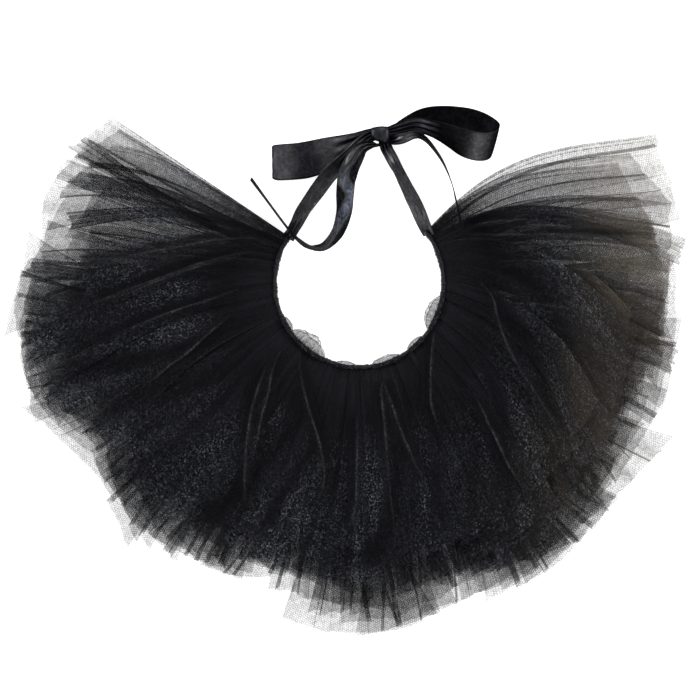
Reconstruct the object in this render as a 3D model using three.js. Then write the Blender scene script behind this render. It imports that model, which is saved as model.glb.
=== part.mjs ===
// A dog's tutu, laid out open and flat: a gathered elastic waistband bent into
// most of a ring, three tiers of black tulle sewn to its outer face, and satin
// ribbons that leave its two ends and are tied in a bow across the opening.
//
// Millimetres, +Z up. The work is done about the middle of the waist opening,
// with +X from the left tie to the right one and +Y towards the bow. The last
// lines move the whole group so that the floor under its middle is the origin.
// Angles are in degrees from +X, anticlockwise from above, so the waistband
// runs from 146, its left end, round the bottom to 398, its right end.
import * as THREE from "three";
import { mergeVertices } from "three/addons/utils/BufferGeometryUtils.js";

// ---------------------------------------------------------------- sizes
const WAIST_RADIUS = 57.5;       // inner face of the band
const BAND_WALL = 3.2;
const BAND_HEIGHT = 12;
const BAND_FROM = 146;
const BAND_TO = 398;
const BAND_GATHERS = 36;         // ruched bumps along the band
const BAND_RIPPLE = 0.45;        // how far a bump stands out
const SEAM_GAP = 0.3;            // air between two pieces that are sewn together

const TULLE_WALL = 1.6;          // measured straight up through the cloth
const HEADING_RADIUS = WAIST_RADIUS + BAND_WALL + BAND_RIPPLE + SEAM_GAP;
const SKIRT_LENGTH = 175;        // heading to hem, where the tiers reach full height
const FOLD_AT_WAIST = 0.8;       // height of a pleat at the heading
const FOLD_AT_HEM = 9;           // and at the hem
const TIER_AIR = 0.5;            // between the highest pleat of a tier and the next tier
const HEADING_STEP = 1.1;        // extra room between the headings on the band
const PLEAT_COLUMNS = 4;         // grid columns to a pleat
const SKIRT_ROWS = [0, 0.3, 0.64, 1];   // fractions of the way from heading to hem
const HEM_POINT = 3.5;           // how much further a crest reaches than a trough

const RIBBON_WIDTH = 25;         // one-inch satin ribbon
const RIBBON_WALL = 1;
const FLOOR_AIR = 0.1;           // a ribbon's lower edge above the floor

const KNOT = { x: 16.1, y: 102.9, z: 8.7, halfX: 5.2, halfY: 6.2, halfZ: 8.3 };
const KNOT_POWER = 4;            // 2 would be an ellipsoid, more is boxier

// ---------------------------------------------------------------- tables
// One row for each gathered panel: its edges at the band and at the hem, then
// how far its hem reaches from the middle of the waist at its first edge, half
// way along and at its last edge. The last panels swell near the band.
const UNDER_PANELS = [
  { band: [146, 172], hem: [146, 172], reach: [202, 229, 238] },
  { band: [172, 200], hem: [172, 200], reach: [227, 240, 246] },
  { band: [200, 229], hem: [200, 229], reach: [246, 224, 236] },
  { band: [229, 257], hem: [229, 257], reach: [231, 229, 216] },
  { band: [257, 284], hem: [257, 284], reach: [234, 241, 233] },
  { band: [284, 317], hem: [284, 317], reach: [232, 234, 231] },
  { band: [317, 352], hem: [317, 352], reach: [228, 232, 227] },
  { band: [352, 398], hem: [352, 387], reach: [226, 226, 222], swell: 9 },
];
const MIDDLE_PANELS = [
  { band: [146, 178], hem: [147, 180], reach: [192, 222, 222] },
  { band: [178, 212], hem: [180, 213], reach: [222, 238, 216] },
  { band: [212, 246], hem: [213, 245], reach: [216, 228, 220] },
  { band: [246, 276], hem: [245, 275], reach: [220, 216, 229] },
  { band: [276, 308], hem: [275, 306], reach: [229, 222, 226] },
  { band: [308, 342], hem: [306, 337], reach: [226, 222, 223] },
  { band: [342, 372], hem: [337, 364], reach: [223, 220, 218] },
  { band: [372, 397.6], hem: [364, 386], reach: [218, 217, 210], swell: 8 },
];
const TOP_PANELS = [
  { band: [146.4, 167], hem: [148, 182], reach: [184, 210, 218] },
  { band: [167, 200], hem: [182, 210], reach: [218, 230, 213] },
  { band: [200, 232], hem: [210, 237], reach: [213, 221, 216] },
  { band: [232, 262], hem: [237, 262], reach: [216, 211, 213] },
  { band: [262, 290], hem: [262, 287], reach: [213, 216, 212] },
  { band: [290, 325], hem: [287, 309], reach: [212, 217, 213] },
  { band: [325, 360], hem: [309, 331], reach: [213, 208, 208] },
  { band: [360, 397.2], hem: [331, 385], reach: [208, 205, 196], swell: 7 },
];
const TIERS = [
  { name: "underskirt_panel", panels: UNDER_PANELS, pleats: 4, onFloor: true },
  { name: "middle_panel", panels: MIDDLE_PANELS, pleats: 5, onFloor: false },
  { name: "top_panel", panels: TOP_PANELS, pleats: 5, onFloor: false },
];
// Heights of neighbouring pleats, as shares of the full height, used in turn.
const PLEAT_HEIGHTS = [0.85, 0.6, 1, 0.7, 0.95];

// Each ribbon is a list of stations: the middle of the ribbon in plan (x, y)
// and its height z, how wide it is there, less than 25 where it is gathered,
// and lean, 0 where it lies flat and 90 where it stands on its edge. Its upper
// edge is on the side of travel that `side` gives, +1 left and -1 right. A loop
// turns back on itself, so it has the bearing of its upper edge instead.
const RIBBONS = [
  {
    name: "tie_left", side: 1, steps: 20, stations: [
      { x: -48.5, y: 33.7, z: 2.2, width: 3.6, lean: 80 },
      { x: -46.0, y: 37.3, z: 2.6, width: 4.4, lean: 70 },
      { x: -42.3, y: 43.8, z: 6.3, width: 12, lean: 64 },
      { x: -37.8, y: 52.5, z: 11.7, width: 25, lean: 66 },
      { x: -29.4, y: 64.4, z: 12, width: 25, lean: 66 },
      { x: -20.3, y: 76.3, z: 13.5, width: 21, lean: 64 },
      { x: -8.6, y: 87.9, z: 14.2, width: 14, lean: 50 },
      { x: 2.4, y: 97.8, z: 13, width: 9, lean: 22 },
      { x: 10.3, y: 101.3, z: 12.4, width: 7, lean: 8 },
    ],
  },
  {
    name: "tie_right", side: -1, steps: 16, stations: [
      { x: 46.0, y: 38.1, z: 6, width: 9.6, lean: 84 },
      { x: 46.0, y: 42.7, z: 7.2, width: 14, lean: 62 },
      { x: 40.6, y: 52.5, z: 10.7, width: 22, lean: 68 },
      { x: 36.8, y: 60.2, z: 12.2, width: 25, lean: 73 },
      { x: 31.5, y: 70.7, z: 12.4, width: 25, lean: 76 },
      { x: 26.3, y: 81.2, z: 11.8, width: 20, lean: 74 },
      { x: 20.9, y: 91.0, z: 8.4, width: 11, lean: 55 },
      { x: 18.3, y: 95.9, z: 7.4, width: 7, lean: 12 },
    ],
  },
  {
    name: "tail_left", side: -1, steps: 30, stations: [
      { x: 10.5, y: 100.4, z: 15.6, width: 7, lean: 8 },
      { x: 3.4, y: 94.2, z: 16, width: 10, lean: 28 },
      { x: -4.2, y: 84.4, z: 15.6, width: 18, lean: 50 },
      { x: -8.6, y: 72.8, z: 13.4, width: 25, lean: 60 },
      { x: -9.8, y: 61.6, z: 11.3, width: 25, lean: 60 },
      { x: -10.7, y: 49.0, z: 11.5, width: 25, lean: 63 },
      { x: -15.4, y: 35.0, z: 12, width: 25, lean: 69 },
      { x: -24.5, y: 25.8, z: 12.4, width: 25, lean: 77 },
      { x: -34.3, y: 25.4, z: 13.5, width: 25, lean: 82 },
      { x: -42.3, y: 30.1, z: 16.2, width: 23, lean: 84 },
      { x: -48.4, y: 36.4, z: 16.6, width: 22, lean: 86 },
      { x: -55.3, y: 45.2, z: 14.2, width: 24, lean: 86 },
      { x: -64.4, y: 57.6, z: 12.8, width: 25, lean: 86 },
      { x: -75.6, y: 72.8, z: 12.8, width: 25, lean: 86 },
    ],
  },
  {
    name: "tail_right", side: 1, steps: 20, stations: [
      { x: 23.0, y: 99.9, z: 7.6, width: 6, lean: 20 },
      { x: 31.8, y: 101.8, z: 11.4, width: 13, lean: 60 },
      { x: 39.4, y: 103.6, z: 13.4, width: 18, lean: 74 },
      { x: 45.5, y: 100.4, z: 13.2, width: 22, lean: 84 },
      { x: 51.8, y: 93.8, z: 14, width: 25, lean: 86 },
      { x: 58.8, y: 83.3, z: 16.5, width: 25, lean: 86 },
      { x: 63.9, y: 71.4, z: 22, width: 25, lean: 86 },
      { x: 67.6, y: 58.1, z: 26.5, width: 25, lean: 86 },
      { x: 70.0, y: 44.8, z: 26.6, width: 25, lean: 86 },
      { x: 71.4, y: 32.9, z: 26.4, width: 25, lean: 86 },
    ],
  },
  {
    name: "bow_loop_left", bearing: 91, steps: 26, stations: [
      { x: 9.9, y: 102.9, z: 6.6, width: 9, lean: 0 },
      { x: -3.5, y: 98.6, z: 7.6, width: 15, lean: 2 },
      { x: -20.3, y: 91.6, z: 8, width: 22, lean: 4 },
      { x: -37.8, y: 86.6, z: 7.8, width: 25, lean: 4 },
      { x: -52.5, y: 85.1, z: 7.3, width: 25, lean: 3 },
      { x: -58.6, y: 84.8, z: 6.2, width: 25, lean: 3 },
      { x: -60.9, y: 84.7, z: 4.0, width: 25, lean: 2 },
      { x: -58.6, y: 84.7, z: 1.7, width: 25, lean: 1 },
      { x: -52.5, y: 84.9, z: 0.8, width: 25, lean: 0 },
      { x: -37.8, y: 86.2, z: 0.7, width: 25, lean: 0 },
      { x: -20.3, y: 91.2, z: 0.7, width: 22, lean: 0 },
      { x: -3.5, y: 98.2, z: 1.2, width: 15, lean: 0 },
      { x: 10.7, y: 102.9, z: 2.4, width: 8, lean: 0 },
    ],
  },
  {
    name: "bow_loop_right", bearing: 76, steps: 28, stations: [
      { x: 22.0, y: 105.4, z: 6.4, width: 8, lean: 20 },
      { x: 35.6, y: 111.2, z: 6.4, width: 17, lean: 36 },
      { x: 49.0, y: 114.0, z: 7.8, width: 23, lean: 38 },
      { x: 63.7, y: 113.8, z: 8.3, width: 25, lean: 38 },
      { x: 77.7, y: 111.8, z: 8.6, width: 25, lean: 38 },
      { x: 89.0, y: 107.0, z: 10.8, width: 25, lean: 38 },
      { x: 95.4, y: 101.0, z: 16.5, width: 25, lean: 38 },
      { x: 92.6, y: 95.8, z: 23, width: 25, lean: 39 },
      { x: 84.7, y: 94.4, z: 26, width: 25, lean: 41 },
      { x: 74.2, y: 96.9, z: 26.2, width: 25, lean: 44 },
      { x: 62.3, y: 102.4, z: 24, width: 23, lean: 54 },
      { x: 50.4, y: 107.8, z: 19.6, width: 17, lean: 54 },
      { x: 37.6, y: 110.9, z: 15.2, width: 11, lean: 40 },
      { x: 22.0, y: 107.4, z: 13.8, width: 6, lean: 10 },
    ],
  },
];

// ---------------------------------------------------------------- materials
const netCloth = () => new THREE.MeshStandardMaterial({
  color: 0x17181c, roughness: 0.9, metalness: 0, side: THREE.DoubleSide,
});
const satin = () => new THREE.MeshStandardMaterial({ color: 0x0d0d11, roughness: 0.35, metalness: 0 });
const elastic = () => new THREE.MeshStandardMaterial({ color: 0x121316, roughness: 0.8, metalness: 0 });

// ---------------------------------------------------------------- helpers
const radians = (degrees) => THREE.MathUtils.degToRad(degrees);
const { lerp } = THREE.MathUtils;

/** A closed body from its points and triangles, turned right side out. */
function closedBody(points, triangles) {
  let volume = 0;
  const cross = new THREE.Vector3();
  for (const [a, b, c] of triangles) {
    volume += points[a].dot(cross.crossVectors(points[b], points[c])) / 6;
  }
  const outward = volume > 0 ? triangles : triangles.map(([a, b, c]) => [a, c, b]);
  const geometry = new THREE.BufferGeometry();
  geometry.setAttribute("position", new THREE.Float32BufferAttribute(points.flatMap((p) => p.toArray()), 3));
  geometry.setIndex(outward.flat());
  return geometry;
}

/** A wall that joins closed rings of equally many points, capped at both ends. */
function ringBody(rings) {
  const count = rings[0].length;
  const triangles = [];
  for (let i = 0; i + 1 < rings.length; i += 1) {
    for (let j = 0; j < count; j += 1) {
      const a = i * count + j;
      const b = i * count + (j + 1) % count;
      triangles.push([a, b, b + count], [a, b + count, a + count]);
    }
  }
  const last = (rings.length - 1) * count;
  for (let j = 1; j + 1 < count; j += 1) {
    triangles.push([0, j + 1, j], [last, last + j, last + j + 1]);
  }
  return closedBody(rings.flat(), triangles);
}

/** A sheet of cloth: an upper grid of points, and the same grid `wall` below it. */
function sheetBody(columns, wall) {
  const rows = columns[0].length;
  const upper = columns.flat();
  const lower = upper.map((p) => new THREE.Vector3(p.x, p.y, p.z - wall));
  const under = upper.length;
  const at = (i, j) => i * rows + j;
  const triangles = [];
  const quad = (a, b, c, d) => triangles.push([a, b, c], [a, c, d]);
  for (let i = 0; i + 1 < columns.length; i += 1) {
    for (let j = 0; j + 1 < rows; j += 1) {
      const corners = [at(i, j), at(i, j + 1), at(i + 1, j + 1), at(i + 1, j)];
      quad(...corners);
      quad(...corners.map((k) => k + under).reverse());
    }
  }
  const rim = [];
  for (let i = 0; i < columns.length; i += 1) rim.push(at(i, 0));
  for (let j = 1; j < rows; j += 1) rim.push(at(columns.length - 1, j));
  for (let i = columns.length - 2; i >= 0; i -= 1) rim.push(at(i, rows - 1));
  for (let j = rows - 2; j > 0; j -= 1) rim.push(at(0, j));
  rim.forEach((a, k) => {
    const b = rim[(k + 1) % rim.length];
    quad(a, b, b + under, a + under);
  });
  return closedBody([...upper, ...lower], triangles);
}

function named(name, geometry, material) {
  const mesh = new THREE.Mesh(geometry, material);
  mesh.name = name;
  return mesh;
}

// ---------------------------------------------------------------- waistband
/** The elastic casing: a flat wall on edge, bent round, its faces ruched. */
function waistband() {
  const stations = BAND_GATHERS * 2;
  const rings = [];
  for (let i = 0; i <= stations; i += 1) {
    const angle = radians(lerp(BAND_FROM, BAND_TO, i / stations));
    const bump = i % 2 ? BAND_RIPPLE : 0;
    const section = [
      [WAIST_RADIUS - bump, 0],
      [WAIST_RADIUS + BAND_WALL + bump, 0],
      [WAIST_RADIUS + BAND_WALL + bump, BAND_HEIGHT - BAND_RIPPLE + bump],
      [WAIST_RADIUS - bump, BAND_HEIGHT - BAND_RIPPLE + bump],
    ];
    rings.push(section.map(([r, z]) => new THREE.Vector3(r * Math.cos(angle), r * Math.sin(angle), z)));
  }
  return named("waistband", ringBody(rings), elastic());
}

// ---------------------------------------------------------------- tulle tiers
/** Height of a pleat at a radius, growing evenly from the heading to the hem. */
const foldHeight = (radius) =>
  lerp(FOLD_AT_WAIST, FOLD_AT_HEM, Math.max(0, (radius - HEADING_RADIUS) / SKIRT_LENGTH));

/** Underside of tier number `tier` at a radius: each tier clears the pleats of the one below. */
const tierFloor = (tier, radius) =>
  tier * (foldHeight(radius) + TULLE_WALL + TIER_AIR + HEADING_STEP);

/** The parabola through three values, at `share` of the way along. */
function through([first, middle, last], share) {
  const bow = 4 * (middle - (first + last) / 2) * share * (1 - share);
  return lerp(first, last, share) + bow;
}

/** One gathered panel: pleats that rise from the heading and open out to the hem. */
function tullePanel(tierIndex, tier, row, number) {
  const columns = tier.pleats * PLEAT_COLUMNS;
  const grid = [];
  for (let i = 0; i <= columns; i += 1) {
    const share = i / columns;
    const wave = -Math.cos(2 * Math.PI * i / PLEAT_COLUMNS);
    const lift = tier.onFloor ? Math.max(0, wave) : (wave + 1) / 2;
    const pleat = Math.floor(i / PLEAT_COLUMNS);
    const height = lift * PLEAT_HEIGHTS[(pleat + number) % PLEAT_HEIGHTS.length];
    const hem = through(row.reach, share) + HEM_POINT * wave;
    const inset = (i === 0 ? 1 : 0) - (i === columns ? 1 : 0);
    grid.push(SKIRT_ROWS.map((down) => {
      const radius = lerp(HEADING_RADIUS, hem, down);
      const swell = (row.swell ?? 0) * 4 * down * (1 - down) ** 2 * share;
      const angle = radians(lerp(lerp(...row.band, share), lerp(...row.hem, share), down) + swell)
        + inset * SEAM_GAP / 2 / radius;
      const z = tierFloor(tierIndex, radius) + height * foldHeight(radius) + TULLE_WALL;
      return new THREE.Vector3(radius * Math.cos(angle), radius * Math.sin(angle), z);
    }));
  }
  return named(`${tier.name}_${number + 1}`, sheetBody(grid, TULLE_WALL), netCloth());
}

// ---------------------------------------------------------------- ribbons
/** A ribbon through its stations: a flat section carried along a smooth path. */
function ribbon({ name, side, bearing, steps, stations }) {
  const path = new THREE.CatmullRomCurve3(stations.map((s) => new THREE.Vector3(s.x, s.y, s.z)));
  const form = new THREE.CatmullRomCurve3(
    stations.map((s) => new THREE.Vector3(s.width, s.lean, 0)), false, "catmullrom", 0.3);
  const rings = [];
  for (let i = 0; i <= steps; i += 1) {
    const middle = path.getPoint(i / steps);
    const along = path.getTangent(i / steps);
    const { x: wide, y: lean } = form.getPoint(i / steps);
    const heading = Math.atan2(along.y, along.x);
    const level = bearing === undefined ? heading + side * Math.PI / 2 : radians(bearing);
    const half = Math.min(wide, RIBBON_WIDTH) / 2;
    const up = new THREE.Vector3(
      Math.cos(level) * Math.cos(radians(lean)),
      Math.sin(level) * Math.cos(radians(lean)),
      Math.sin(radians(lean)),
    );
    const across = up.clone().addScaledVector(along, -up.dot(along)).normalize();
    const face = new THREE.Vector3().crossVectors(along, across);
    const low = half * Math.abs(across.z) + RIBBON_WALL / 2 * Math.abs(face.z) + FLOOR_AIR;
    middle.z = Math.max(middle.z, low);
    rings.push([[-1, -1], [1, -1], [1, 1], [-1, 1]].map(([a, f]) => middle.clone()
      .addScaledVector(across, a * half)
      .addScaledVector(face, f * RIBBON_WALL / 2)));
  }
  return named(name, ringBody(rings), satin());
}

/** The knot: a sphere's directions pushed out to a box with well rounded edges. */
function bowKnot() {
  const sphere = new THREE.SphereGeometry(1, 14, 8);
  sphere.deleteAttribute("normal");
  sphere.deleteAttribute("uv");
  const geometry = mergeVertices(sphere);
  const points = geometry.getAttribute("position");
  const ray = new THREE.Vector3();
  for (let i = 0; i < points.count; i += 1) {
    ray.fromBufferAttribute(points, i);
    const spread = ray.toArray().reduce((sum, d) => sum + Math.abs(d) ** KNOT_POWER, 0);
    ray.multiplyScalar(spread ** (-1 / KNOT_POWER));
    points.setXYZ(i, KNOT.x + ray.x * KNOT.halfX, KNOT.y + ray.z * KNOT.halfY, KNOT.z - ray.y * KNOT.halfZ);
  }
  return named("bow_knot", geometry, satin());
}

// ---------------------------------------------------------------- the tutu
const tutu = new THREE.Group();
tutu.add(waistband());
TIERS.forEach((tier, tierIndex) => {
  tier.panels.forEach((row, number) => tutu.add(tullePanel(tierIndex, tier, row, number)));
});
RIBBONS.forEach((row) => tutu.add(ribbon(row)));
tutu.add(bowKnot());

// The origin: on the floor, under the middle of the whole.
const box = new THREE.Box3().setFromObject(tutu);
tutu.position.set(-(box.min.x + box.max.x) / 2, -(box.min.y + box.max.y) / 2, -box.min.z);

export default tutu;
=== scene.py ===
# %% [markdown]
# # A dog's tutu in black tulle
# The tutu lies open on a pale table, seen from straight above. A ruched elastic
# waistband goes most of the way round the waist. Three tiers of gathered net fan
# out from it, and a satin ribbon from each of its ends is tied in a bow.
#
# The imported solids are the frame: they fix every size and place. This script
# gives each of them its visible cloth, a thin surface worked out with numpy.

import bpy
import numpy as np
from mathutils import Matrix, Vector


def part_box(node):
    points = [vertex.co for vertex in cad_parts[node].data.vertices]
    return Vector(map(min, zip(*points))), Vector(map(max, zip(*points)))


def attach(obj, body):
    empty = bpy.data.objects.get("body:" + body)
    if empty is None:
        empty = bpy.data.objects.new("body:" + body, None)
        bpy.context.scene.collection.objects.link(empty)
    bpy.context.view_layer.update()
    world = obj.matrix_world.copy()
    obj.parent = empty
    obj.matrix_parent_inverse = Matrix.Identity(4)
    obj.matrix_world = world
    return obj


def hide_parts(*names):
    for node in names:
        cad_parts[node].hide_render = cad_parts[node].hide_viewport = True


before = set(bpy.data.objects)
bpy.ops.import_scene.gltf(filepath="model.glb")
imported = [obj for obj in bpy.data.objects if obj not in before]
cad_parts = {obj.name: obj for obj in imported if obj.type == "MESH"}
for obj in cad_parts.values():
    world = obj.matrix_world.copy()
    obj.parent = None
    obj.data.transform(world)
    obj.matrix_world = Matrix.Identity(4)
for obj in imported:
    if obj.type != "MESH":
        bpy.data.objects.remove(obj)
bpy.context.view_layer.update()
MM = 0.001

# %% [markdown]
# ## Where everything is
# The waistband is an arc of a circle, so the middle of the waist opening follows
# from its box: half its width is its outer radius, and its lowest point in plan
# is one radius below the middle. Every other place is given from there.

# %% The middle of the waist opening
band_low, band_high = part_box("waistband")
BAND_OUTER = (band_high.x - band_low.x) / 2
WAIST = np.array([(band_low.x + band_high.x) / 2, band_low.y + BAND_OUTER])
BAND_HEIGHT = band_high.z
print("waist opening's middle in mm:", WAIST / MM, "band's outer radius:", BAND_OUTER / MM)


# %% [markdown]
# ## Small helpers
# Cloth is a grid: every piece below is a function of two numbers, one along the
# cloth and one across it. A grid of points becomes a mesh in one call, with no
# loop over vertices, and its UV map holds the cloth's own flat position in
# metres, so that a weave keeps its true size wherever the cloth is gathered.

# %% Grids into meshes
def grid_faces(rows, columns, first=0):
    """Quads of a grid stored row by row, whose first point has the number `first`."""
    corner = first + (np.arange(rows - 1)[:, None] * columns + np.arange(columns - 1)).ravel()
    return np.stack([corner, corner + 1, corner + columns + 1, corner + columns], axis=1)


def cloth_object(name, grids, material, turned=False, body="root"):
    """One mesh object from several grids of points.

    Each grid is a dictionary: "points" (rows, columns, 3), "flat" (rows, columns, 2)
    for the UV map, and any number of (rows, columns) arrays that become attributes.
    A face points along the cross product of its way from column to column and its way
    from row to row. Where that is down or inwards, `turned` makes it point the other way.
    """
    points, faces, first = [], [], 0
    for grid in grids:
        rows, columns = grid["points"].shape[:2]
        points.append(grid["points"].reshape(-1, 3))
        faces.append(grid_faces(rows, columns, first))
        first += rows * columns
    faces = np.concatenate(faces)
    if turned:
        faces = faces[:, [0, 3, 2, 1]]
    mesh = bpy.data.meshes.new(name)
    mesh.from_pydata(np.concatenate(points), [], faces)
    flat = np.concatenate([grid["flat"].reshape(-1, 2) for grid in grids])
    mesh.uv_layers.new(name="cloth").data.foreach_set("uv", flat[faces.ravel()].ravel())
    for key in sorted(set(grids[0]) - {"points", "flat"}):
        values = np.concatenate([grid[key].ravel() for grid in grids]).astype(np.float32)
        mesh.attributes.new(key, "FLOAT", "POINT").data.foreach_set("value", values)
    mesh.shade_smooth()
    mesh.update()
    piece = bpy.data.objects.new(name, mesh)
    bpy.context.scene.collection.objects.link(piece)
    piece.data.materials.append(material)
    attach(piece, body)
    return piece


def blend(a, b, share):
    """The value `share` of the way from a to b."""
    return a + (b - a) * share


def smooth_step(low, high, value):
    """0 below low, 1 above high, and the smooth curve 3t^2 - 2t^3 between them."""
    t = np.clip((value - low) / (high - low), 0, 1)
    return t * t * (3 - 2 * t)


def wander(x, rng, waves=4, slowest=0.7):
    """An uneven curve through x from -1 to 1: a few sine waves of random phase and falling size."""
    total = np.zeros_like(x, dtype=float)
    for k in range(waves):
        total += np.sin(2 * np.pi * (slowest * (k + 1) * x + rng.uniform())) / (k + 1)
    return total / sum(1 / (k + 1) for k in range(waves))


def bell(x, width):
    """1 at x = 0, falling off to both sides as a Gauss curve of that width."""
    return np.exp(-(x / width) ** 2)


def unit(vectors):
    """Vectors of length 1 along the last axis."""
    return vectors / np.linalg.norm(vectors, axis=-1, keepdims=True)


def stack(*parts):
    """Arrays side by side as the last axis of one array, after numpy has made them equally large."""
    return np.stack(np.broadcast_arrays(*parts), axis=-1)


def round_waist(radius, angle, height):
    """Points at a distance and an angle in radians round the waist's middle, at a height."""
    return stack(WAIST[0] + radius * np.cos(angle), WAIST[1] + radius * np.sin(angle), height)


# %% [markdown]
# ## Node groups
# Net is a honeycomb of thread. Three cosines at 60 degrees to each other add up
# to a pattern that is high in the middle of each hole and low along the walls
# between holes, so "below a level" is thread. Raising the level closes the net,
# which is how gathered net gets darker. A second group makes soft clouds, and the
# net, the casing and the satin each use it with values of their own.

# %% Node helpers
def new_group(name, inputs, outputs):
    """A shader node group with named float or vector sockets. Returns it with its two end nodes."""
    group = bpy.data.node_groups.new(name, "ShaderNodeTree")
    for label, kind, value in inputs:
        socket = group.interface.new_socket(label, in_out="INPUT", socket_type=kind)
        if value is not None:
            socket.default_value = value
    for label, kind in outputs:
        group.interface.new_socket(label, in_out="OUTPUT", socket_type=kind)
    return group, group.nodes.new("NodeGroupInput"), group.nodes.new("NodeGroupOutput")


def put(tree, socket, value):
    """Gives a socket its value: another node's output, or a plain number."""
    if isinstance(value, (int, float)):
        socket.default_value = value
    else:
        tree.links.new(value, socket)


def maths(tree, operation, a, b=None, c=None, clamp=False):
    """A Math node whose inputs are sockets or plain numbers. Returns its output."""
    node = tree.nodes.new("ShaderNodeMath")
    node.operation = operation
    node.use_clamp = clamp
    for socket, value in zip(node.inputs, (a, b, c)):
        if value is not None:
            put(tree, socket, value)
    return node.outputs[0]


def ramp(tree, value, low, high):
    """A Map Range node with smooth ends, from 0 at low to 1 at high. Returns its output."""
    node = tree.nodes.new("ShaderNodeMapRange")
    node.interpolation_type = "SMOOTHSTEP"
    tree.links.new(value, node.inputs["Value"])
    put(tree, node.inputs["From Min"], low)
    put(tree, node.inputs["From Max"], high)
    return node.outputs["Result"]


def noise(tree, vector, scale, detail=2.0, rough=0.5):
    """A Noise Texture. Returns its value output, from 0 to 1."""
    node = tree.nodes.new("ShaderNodeTexNoise")
    tree.links.new(vector, node.inputs["Vector"])
    put(tree, node.inputs["Scale"], scale)
    node.inputs["Detail"].default_value = detail
    node.inputs["Roughness"].default_value = rough
    return node.outputs["Fac"]


def speck(tree, vector, scale):
    """A random value from 0 to 1 for each cell of a Voronoi Texture. Returns its output."""
    node = tree.nodes.new("ShaderNodeTexVoronoi")
    tree.links.new(vector, node.inputs["Vector"])
    node.inputs["Scale"].default_value = scale
    return axes(tree, node.outputs["Color"])[0]


def axes(tree, vector):
    """The X, Y and Z outputs of a vector or colour, from a Separate XYZ node."""
    node = tree.nodes.new("ShaderNodeSeparateXYZ")
    tree.links.new(vector, node.inputs[0])
    return node.outputs


def scaled(tree, vector, scale):
    """The vector with its axes scaled by a Mapping node. Returns the new vector."""
    node = tree.nodes.new("ShaderNodeMapping")
    node.inputs["Scale"].default_value = scale
    tree.links.new(vector, node.inputs["Vector"])
    return node.outputs["Vector"]


def uneven(tree, vector, scale, size):
    """The vector pushed about by a Noise Texture's colour times size. Returns the new vector."""
    node = tree.nodes.new("ShaderNodeTexNoise")
    tree.links.new(vector, node.inputs["Vector"])
    node.inputs["Scale"].default_value = scale
    push = tree.nodes.new("ShaderNodeVectorMath")
    push.operation = "MULTIPLY_ADD"
    tree.links.new(node.outputs["Color"], push.inputs[0])
    push.inputs[1].default_value = (size, size, size)
    tree.links.new(vector, push.inputs[2])
    return push.outputs["Vector"]


def attribute(tree, name):
    """A mesh attribute's value output."""
    node = tree.nodes.new("ShaderNodeAttribute")
    node.attribute_name = name
    return node.outputs["Fac"]


def mix_colour(tree, share, first, second):
    """Mixes two colours, each a socket or an RGB triple, by a socket. Returns the colour output."""
    node = tree.nodes.new("ShaderNodeMix")
    node.data_type = "RGBA"
    tree.links.new(share, node.inputs["Factor"])
    for label, value in (("A", first), ("B", second)):
        socket = [s for s in node.inputs if s.name == label and s.type == "RGBA"][0]
        if isinstance(value, tuple):
            socket.default_value = (*value, 1)
        else:
            tree.links.new(value, socket)
    return [s for s in node.outputs if s.type == "RGBA"][0]


def bump(tree, surface, height, strength, distance):
    """Tilts a shader's normal by the slope of a height, with a Bump node."""
    node = tree.nodes.new("ShaderNodeBump")
    node.inputs["Strength"].default_value = strength
    node.inputs["Distance"].default_value = distance
    tree.links.new(height, node.inputs["Height"])
    tree.links.new(node.outputs["Normal"], surface.inputs["Normal"])


def cloth_material(name):
    """A new node material. Returns it, its tree, its Principled BSDF and its cloth UV map's output."""
    material = bpy.data.materials.new(name)
    material.use_nodes = True
    tree = material.node_tree
    where = tree.nodes.new("ShaderNodeUVMap")
    where.uv_map = "cloth"
    return material, tree, tree.nodes["Principled BSDF"], where.outputs["UV"]


# %% The honeycomb net group
def honeycomb_group():
    """Net of hexagonal holes.

    Cell is the distance between two holes, Cover the share of the cloth that is thread, and Crisp how
    much the pattern shows, from 0, an even veil, to 1. Thread is the mask of the threads.
    """
    group, start, end = new_group(
        "honeycomb_net",
        [("Vector", "NodeSocketVector", None), ("Cell", "NodeSocketFloat", 0.0013),
         ("Cover", "NodeSocketFloat", 0.3), ("Crisp", "NodeSocketFloat", 0.4)],
        [("Thread", "NodeSocketFloat")])
    across, along, _ = axes(group, start.outputs["Vector"])
    turns = maths(group, "DIVIDE", 2 * np.pi * 2 / np.sqrt(3), start.outputs["Cell"])
    x = maths(group, "MULTIPLY", across, turns)
    y = maths(group, "MULTIPLY", along, turns)
    half_x = maths(group, "MULTIPLY", x, 0.5)
    slant = maths(group, "MULTIPLY", y, np.sqrt(3) / 2)
    waves = maths(group, "COSINE", x)
    waves = maths(group, "ADD", waves, maths(group, "COSINE", maths(group, "ADD", half_x, slant)))
    waves = maths(group, "ADD", waves, maths(group, "COSINE", maths(group, "SUBTRACT", half_x, slant)))
    # The pattern runs from -1.5 to 3. About a share c of it lies below c (1.45 + 2.97 c^2) - 1.42.
    square = maths(group, "MULTIPLY", start.outputs["Cover"], start.outputs["Cover"])
    slope = maths(group, "MULTIPLY_ADD", square, 2.97, 1.45)
    level = maths(group, "MULTIPLY_ADD", start.outputs["Cover"], slope, -1.42)
    depth = maths(group, "SUBTRACT", level, waves)
    threads = maths(group, "SUBTRACT", ramp(group, depth, -0.7, 0.7), start.outputs["Cover"])
    soft = maths(group, "MULTIPLY_ADD", threads, start.outputs["Crisp"], start.outputs["Cover"])
    group.links.new(soft, end.inputs["Thread"])
    return group


NET = honeycomb_group()


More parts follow.
